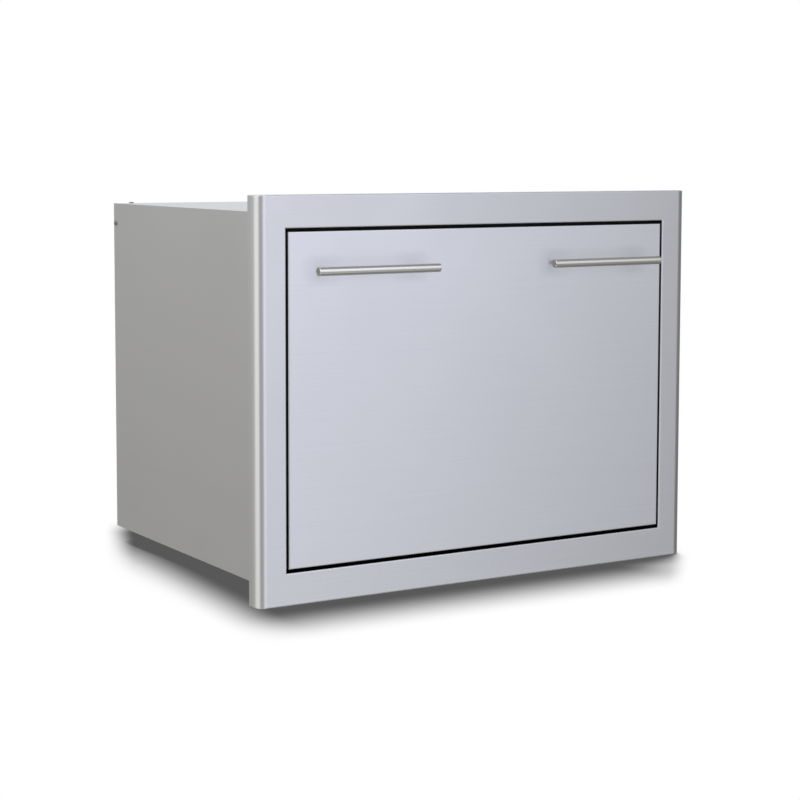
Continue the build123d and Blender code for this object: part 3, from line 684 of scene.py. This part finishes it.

# Drawer. A skin pan and a liner pan nested back to back make the front; behind it stand folded
# sides with safe hems, a back, a floor and the divider rail, all of stainless sheet. A soft
# painted shade darkens the brushed skin's colour close behind the handles, where they keep light
# from it.
front_stainless = brushed_stainless(
    "front_stainless",
    dark=(0.566, 0.576, 0.600),
    light=(0.666, 0.676, 0.700),
    roughness=0.34,
    anisotropy=0.75,
    marks=(5, 900, 900),
    spread=(0.01, 0.02, 1.0),
    level_gloss=0.3,
)
front_tree = front_stainless.node_tree
front_steel = front_tree.nodes["Principled BSDF"]
front_tone = front_steel.inputs["Base Color"].links[0].from_socket
# Painted shade: occlusion by the handles and posts darkens the skin's base colour close behind
# them.
handle_occlusion = add_node(
    front_tree, "ShaderNodeAmbientOcclusion", {"Distance": 0.036}, samples=16
).outputs["AO"]
painted_handle_shade = remap(
    front_tree, handle_occlusion, (0.93, 0.85), (1.0, 0.88), interpolation="SMOOTHSTEP"
)
front_tone_with_painted_shade = add_node(
    front_tree, "ShaderNodeVectorMath", {0: front_tone, "Scale": painted_handle_shade}, operation="SCALE"
).outputs["Vector"]
feed(front_tree, front_steel, Base_Color=front_tone_with_painted_shade)
finish(front_stainless, "drawer_front_skin")
finish(
    mill_stainless,
    "drawer_front_liner",
    "drawer_left_side",
    "drawer_right_side",
    "drawer_back",
    "drawer_floor",
    "bin_divider",
)

# Handles. Two straight bars of ground stainless rod with broken ends, each on two turned posts
# held by screws from behind the liner. The brushed front gives back no clear image of them.
handle_stainless = brushed_stainless(
    "handle_stainless",
    dark=(0.53, 0.52, 0.495),
    light=(0.57, 0.56, 0.535),
    roughness=0.20,
    anisotropy=0.4,
    marks=(600, 40, 40),
    spread=(1.0, 0.02, 0.03),
    relief=0.01,
)
handle_nodes = ("handle_left_bar", "handle_right_bar", "handle_left_posts", "handle_right_posts")
finish(handle_stainless, *handle_nodes)
for name in handle_nodes:
    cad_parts[name].visible_glossy = False

# Bins. Two moulded polypropylene bins stand loose on the drawer floor. Wall, rolled rim and
# skirt are one section carried round a rounded rectangle, with draft towards the bottom.
bin_plastic, bin_nodes, bin_shader = new_material("bin_plastic")
bin_shader.inputs["Specular IOR Level"].default_value = 0.45
bin_where = add_node(bin_nodes, "ShaderNodeTexCoord").outputs["Object"]
bin_grain = add_node(
    bin_nodes, "ShaderNodeTexVoronoi", {"Vector": bin_where, "Scale": 1100.0}, feature="SMOOTH_F1"
).outputs["Distance"]
bin_flow = noise(bin_nodes, bin_where, scale=9.0, detail=4.0)
bin_lines = add_node(
    bin_nodes, "ShaderNodeMapping", {"Vector": bin_where, "Scale": (260.0, 260.0, 7.0)}
)
bin_scuffs = noise(bin_nodes, bin_lines.outputs["Vector"], scale=1.0, detail=3.0)
bin_worn = remap(bin_nodes, bin_scuffs, (0.62, 0.78), (0.0, 0.5))
bin_tone = blend(bin_nodes, bin_flow, (0.050, 0.052, 0.055), (0.068, 0.070, 0.073))
bin_bump = add_node(
    bin_nodes, "ShaderNodeBump", {"Height": bin_grain, "Strength": 0.15, "Distance": 0.0003}
)
feed(
    bin_nodes,
    bin_shader,
    Base_Color=blend(bin_nodes, bin_worn, bin_tone, (0.13, 0.13, 0.135)),
    Roughness=remap(bin_nodes, bin_flow, (0.0, 1.0), (0.42, 0.62)),
    Normal=bin_bump.outputs["Normal"],
)

bin_wall = 0.0024
bin_rim = 0.009
bin_skirt = 0.014
bin_corner = 0.038
bin_corner_steps = 16
bin_rim_radius = 0.0015
bin_foot_radius = 0.010
bin_slope = math.tan(math.radians(2.3))
bin_tree, bin_given, bin_result = geometry_tree(
    "moulded_bin", Width="Float", Length="Float", Corner="Float", Centre="Vector"
)
bin_section = add_node(bin_tree, "GeometryNodeMeshToCurve", {"Mesh": bin_given["Places"]})
bin_square = add_node(
    bin_tree,
    "GeometryNodeCurvePrimitiveQuadrilateral",
    {"Width": bin_given["Width"], "Height": bin_given["Length"]},
)
bin_outline = add_node(
    bin_tree,
    "GeometryNodeFilletCurve",
    {
        "Curve": bin_square.outputs["Curve"],
        "Count": bin_corner_steps,
        "Radius": bin_given["Corner"],
    },
    mode="POLY",
)
bin_wrapped = add_node(
    bin_tree,
    "GeometryNodeCurveToMesh",
    {"Curve": bin_outline.outputs["Curve"], "Profile Curve": bin_section.outputs["Curve"]},
)
bin_placed = add_node(
    bin_tree,
    "GeometryNodeTransform",
    {"Geometry": bin_wrapped.outputs["Mesh"], "Translation": bin_given["Centre"]},
)
close_tree(bin_tree, bin_given, bin_result, bin_placed.outputs["Geometry"])


def turn_round(centre, radius, start, end, steps=8):
    """Points of an arc in the section, by angle from outward towards down."""
    out, down = centre
    turns = [math.radians(degrees) for degrees in spread_evenly(start, end, steps + 1)]
    return [(out + radius * math.cos(turn), down + radius * math.sin(turn), 0.0) for turn in turns]


def bin_profile(height):
    """Half section of a bin: distance out from its body at the mouth, and depth below the top."""
    inside_foot = bin_foot_radius - bin_wall
    inside_depth = height - bin_wall
    inside_out = -bin_wall - inside_depth * bin_slope
    outside_out = -height * bin_slope
    points = turn_round((inside_out - inside_foot, inside_depth - inside_foot), inside_foot, 90, 0)
    points += turn_round((bin_rim_radius - bin_wall, bin_rim_radius), bin_rim_radius, 180, 270)
    points += turn_round((bin_rim - bin_rim_radius, bin_rim_radius), bin_rim_radius, -90, 0)
    points += [(bin_rim, bin_skirt, 0.0), (bin_rim - bin_wall, bin_skirt, 0.0)]
    points += [(bin_rim - bin_wall, bin_wall, 0.0), (-bin_wall * bin_slope, bin_wall, 0.0)]
    outside_foot = (outside_out - bin_foot_radius, height - bin_foot_radius)
    points += turn_round(outside_foot, bin_foot_radius, 0, 90)
    mesh = bpy.data.meshes.new("bin_section")
    mesh.from_pydata(points, [(step, step + 1) for step in range(len(points) - 1)], [])
    return mesh


for side in ("left", "right"):
    low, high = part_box(f"bin_{side}")
    moulded = grow(
        f"bin_{side}_moulded",
        bin_tree,
        bin_profile(high.z - low.z),
        bin_plastic,
        Width=high.x - low.x - 2 * bin_rim,
        Length=high.y - low.y - 2 * bin_rim,
        Corner=bin_corner,
        Centre=((low.x + high.x) / 2, (low.y + high.y) / 2, high.z),
    )
    shell = bmesh.new()
    shell.from_mesh(moulded.data)
    bmesh.ops.holes_fill(shell, edges=[edge for edge in shell.edges if edge.is_boundary], sides=0)
    bmesh.ops.recalc_face_normals(shell, faces=shell.faces)
    shell.to_mesh(moulded.data)
    shell.free()
    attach(moulded, f"{side}_bin")
    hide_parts(f"bin_{side}")

# Studio. A white paper sweep under a soft white tent, with a tall light panel a little right of
# straight ahead, a wide one on the left, a grey flag on the right and a soft box overhead. The
# tent is seen as plain white, and the paper only by a shadow painted under and round the part.
floor_reach = 30.0
floor_mesh = bpy.data.meshes.new("studio_floor")
corner_signs = ((-1, -1), (1, -1), (1, 1), (-1, 1))
floor_corners = [(x * floor_reach, y * floor_reach, 0.0) for x, y in corner_signs]
floor_mesh.from_pydata(floor_corners, [], [(0, 1, 2, 3)])
floor = bpy.data.objects.new("studio_floor", floor_mesh)
bpy.context.collection.objects.link(floor)
floor.visible_glossy = False


def ramp(tree, value, stops, interpolation="LINEAR"):
    """Colour ramp through (place, colour) stops."""
    node = add_node(tree, "ShaderNodeValToRGB", {"Fac": value})
    node.color_ramp.interpolation = interpolation
    while len(node.color_ramp.elements) < len(stops):
        node.color_ramp.elements.new(0.5)
    for element, (place, colour) in zip(node.color_ramp.elements, sorted(stops)):
        element.position = place
        element.color = (*colour, 1.0)
    return node.outputs["Color"]


def between_edges(tree, where, edges):
    """Share of a place inside soft edges, each a direction and the range it rises over there."""
    share = None
    for direction, rise in edges:
        along = add_node(
            tree, "ShaderNodeVectorMath", {0: where, 1: direction}, operation="DOT_PRODUCT"
        ).outputs["Value"]
        inside = remap(tree, along, rise, interpolation="SMOOTHSTEP")
        share = inside if share is None else calc(tree, "MULTIPLY", share, inside)
    return share


def either(tree, share, first, second):
    """Output of a mix of two shaders."""
    return add_node(
        tree, "ShaderNodeMixShader", {"Fac": share, 1: first, 2: second}
    ).outputs["Shader"]


paper = bpy.data.materials.new("white_paper")
paper.use_nodes = True
paper_tree = paper.node_tree
paper_tree.nodes.remove(paper_tree.nodes["Principled BSDF"])
paper_where = add_node(paper_tree, "ShaderNodeTexCoord").outputs["Object"]
paper_split = add_node(paper_tree, "ShaderNodeSeparateXYZ", {"Vector": paper_where}).outputs
# Painted shadow: the camera sees the paper as a glow darkened where the part occludes it and inside
# a soft box round its foot, faded at the back-left and front-right corners; no lamp casts it.
lean_right = 0.17
lean_back = remap(paper_tree, paper_split["Y"], (0.15, 0.36), (0.51, -0.4))
lean_up = 0.84
contact_lean = vector(paper_tree, lean_right, lean_back, lean_up)
contact_reach = 0.2
contact_range = (0.803, 0.357)
contact = add_node(
    paper_tree,
    "ShaderNodeAmbientOcclusion",
    {"Distance": contact_reach, "Normal": contact_lean},
    samples=32,
).outputs["AO"]
painted_contact_shadow = remap(paper_tree, contact, contact_range, interpolation="SMOOTHSTEP")
soft_edges = (
    ((1.0, -0.065, 0.0), (-0.450, -0.342)),
    ((1.0, 0.0, 0.0), (0.39, 0.23)),
    ((0.0, 1.0, 0.0), (-0.452, -0.280)),
    ((0.0, 1.0, 0.0), (0.469, 0.348)),
)
painted_soft_shadow = between_edges(paper_tree, paper_where, soft_edges)
painted_paper_shadow = calc(paper_tree, "MAXIMUM", painted_contact_shadow, painted_soft_shadow)
back_corner = (((0.922, -0.386, 0.0), (-0.416, -0.468)),)
front_corner = (
    ((1.0, -0.888, 0.0), (0.592, 0.638)),
    ((0.0, 1.0, 0.0), (-0.56, -0.47)),
)
shadow_fade_share = calc(
    paper_tree,
    "MAXIMUM",
    between_edges(paper_tree, paper_where, back_corner),
    between_edges(paper_tree, paper_where, front_corner),
)
shadow_kept_share = calc(paper_tree, "SUBTRACT", 1.0, shadow_fade_share)
faded_painted_shadow = calc(paper_tree, "MULTIPLY", painted_paper_shadow, shadow_kept_share)
painted_shadow_depth = 0.902
paper_painted_shadow = calc(paper_tree, "MULTIPLY", faded_painted_shadow, painted_shadow_depth)
paper_tone_with_painted_shadow = calc(paper_tree, "SUBTRACT", 1.0, paper_painted_shadow)
# The camera sees this glow with its painted shadow; all other rays see plain matt paper.
paper_glow_with_painted_shadow = add_node(paper_tree, "ShaderNodeEmission", {"Color": paper_tone_with_painted_shadow}).outputs["Emission"]
matt_paper = add_node(
    paper_tree, "ShaderNodeBsdfDiffuse", {"Color": (0.9, 0.9, 0.9, 1.0)}
).outputs["BSDF"]
paper_ray = add_node(paper_tree, "ShaderNodeLightPath").outputs["Is Camera Ray"]
paper_mix = either(paper_tree, paper_ray, matt_paper, paper_glow_with_painted_shadow)
paper_tree.links.new(paper_mix, paper_tree.nodes["Material Output"].inputs["Surface"])
floor_mesh.materials.append(paper)

world = bpy.data.worlds.new("studio_tent")
bpy.context.scene.world = world
world.use_nodes = True
tent = world.node_tree
tent_where = add_node(tent, "ShaderNodeTexCoord").outputs["Generated"]
tent_split = add_node(tent, "ShaderNodeSeparateXYZ", {"Vector": tent_where}).outputs
tent_turn = calc(tent, "ARCTAN2", tent_split["X"], tent_split["Y"])
tent_share = remap(tent, tent_turn, (-math.pi, math.pi))


def bearing(degrees):
    """Place in the ramp of a direction, in degrees to the left of straight ahead of the front."""
    turned = math.radians(degrees)
    return (math.atan2(-math.sin(turned), -math.cos(turned)) + math.pi) / math.tau


def tinted(level, tint):
    """Colour of a light level in a tint."""
    return tuple(level * share for share in tint)


grey = (1.0, 1.0, 1.0)
cool = (0.97, 0.99, 1.12)
pale = (0.98, 1.0, 1.03)
warm = (1.02, 1.0, 0.92)
panel_levels = [
    (-170, 0.84, pale),
    (-140, 0.82, pale),
    (-118, 0.36, grey),
    (-62, 0.36, grey),
    (-44, 0.70, pale),
    (-30, 1.40, cool),
    (-14, 1.45, cool),
    (4, 0.95, cool),
    (16, 0.68, grey),
    (42, 0.66, grey),
    (60, 1.46, grey),
    (95, 1.46, grey),
    (112, 0.95, grey),
    (124, 0.80, grey),
    (150, 0.88, grey),
    (160, 0.54, grey),
]
panel_stops = [(bearing(degrees), tinted(level, tint)) for degrees, level, tint in panel_levels]
tent_panels = ramp(tent, tent_share, panel_stops, "EASE")
tent_height = remap(tent, tent_split["Z"], (-1.0, 1.0))
height_levels = [
    (-1.0, 0.90, warm),
    (-0.6, 0.72, warm),
    (-0.4, 0.48, warm),
    (-0.22, 0.50, warm),
    (-0.1, 0.80, warm),
    (0.0, 1.02, grey),
    (0.15, 1.12, grey),
    (0.40, 1.12, grey),
    (0.47, 1.85, grey),
    (0.53, 1.85, grey),
    (0.60, 1.2, grey),
    (1.0, 1.2, grey),
]
height_stops = [((height + 1) / 2, tinted(level, tint)) for height, level, tint in height_levels]
tent_lift = ramp(tent, tent_height, height_stops)
tent_shaded = add_node(
    tent,
    "ShaderNodeMix",
    {"Factor": 1.0, "A": tent_panels, "B": tent_lift},
    data_type="RGBA",
    blend_type="MULTIPLY",
).outputs["Result"]
tent_colours = (tent_shaded, (0.95, 0.95, 0.95, 1.0), (1.0, 1.0, 1.0, 1.0))
tent_reflected, tent_light, tent_white = (
    add_node(tent, "ShaderNodeBackground", {"Color": colour}).outputs["Background"]
    for colour in tent_colours
)
tent_ray = add_node(tent, "ShaderNodeLightPath").outputs
tent_clear = calc(tent, "MAXIMUM", tent_ray["Is Camera Ray"], tent_ray["Is Transmission Ray"])
tent_glossy = either(tent, tent_ray["Is Glossy Ray"], tent_light, tent_reflected)
tent_mix = either(tent, tent_clear, tent_glossy, tent_white)
tent.links.new(tent_mix, tent.nodes["World Output"].inputs["Surface"])

overhead = bpy.data.lights.new("overhead_box", "AREA")
overhead.shape = "RECTANGLE"
overhead.size = 2.0
overhead.size_y = 0.7
overhead.energy = 26.0
overhead_lamp = bpy.data.objects.new("overhead_box", overhead)
overhead_lamp.location = (-0.3, -1.3, 2.4)
overhead_aim = Vector((0.0, -0.1, 0.3)) - overhead_lamp.location
overhead_lamp.rotation_euler = overhead_aim.to_track_quat("-Z", "Y").to_euler()
overhead_lamp.visible_glossy = False
bpy.context.collection.objects.link(overhead_lamp)

# Camera. It stands where the photograph was taken from, left of the front and a little above
# the top, with a long lens shifted down a little so that the uprights lean less.
face_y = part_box("face_frame")[0].y
camera_data = bpy.data.cameras.new("camera")
camera_data.sensor_width = 36.0
camera_data.lens = 87.25
camera_data.shift_y = -0.1
camera = bpy.data.objects.new("camera", camera_data)
camera.location = (-1.599, face_y - 2.397, 0.644)
camera_yaw = math.radians(31.18)
camera_pitch = math.radians(-4.98)
camera_roll = math.radians(-0.12)
camera.rotation_euler = (math.pi / 2 + camera_pitch, camera_roll, -camera_yaw)
bpy.context.collection.objects.link(camera)
bpy.context.scene.camera = camera

bpy.context.scene.view_settings.view_transform = "Standard"
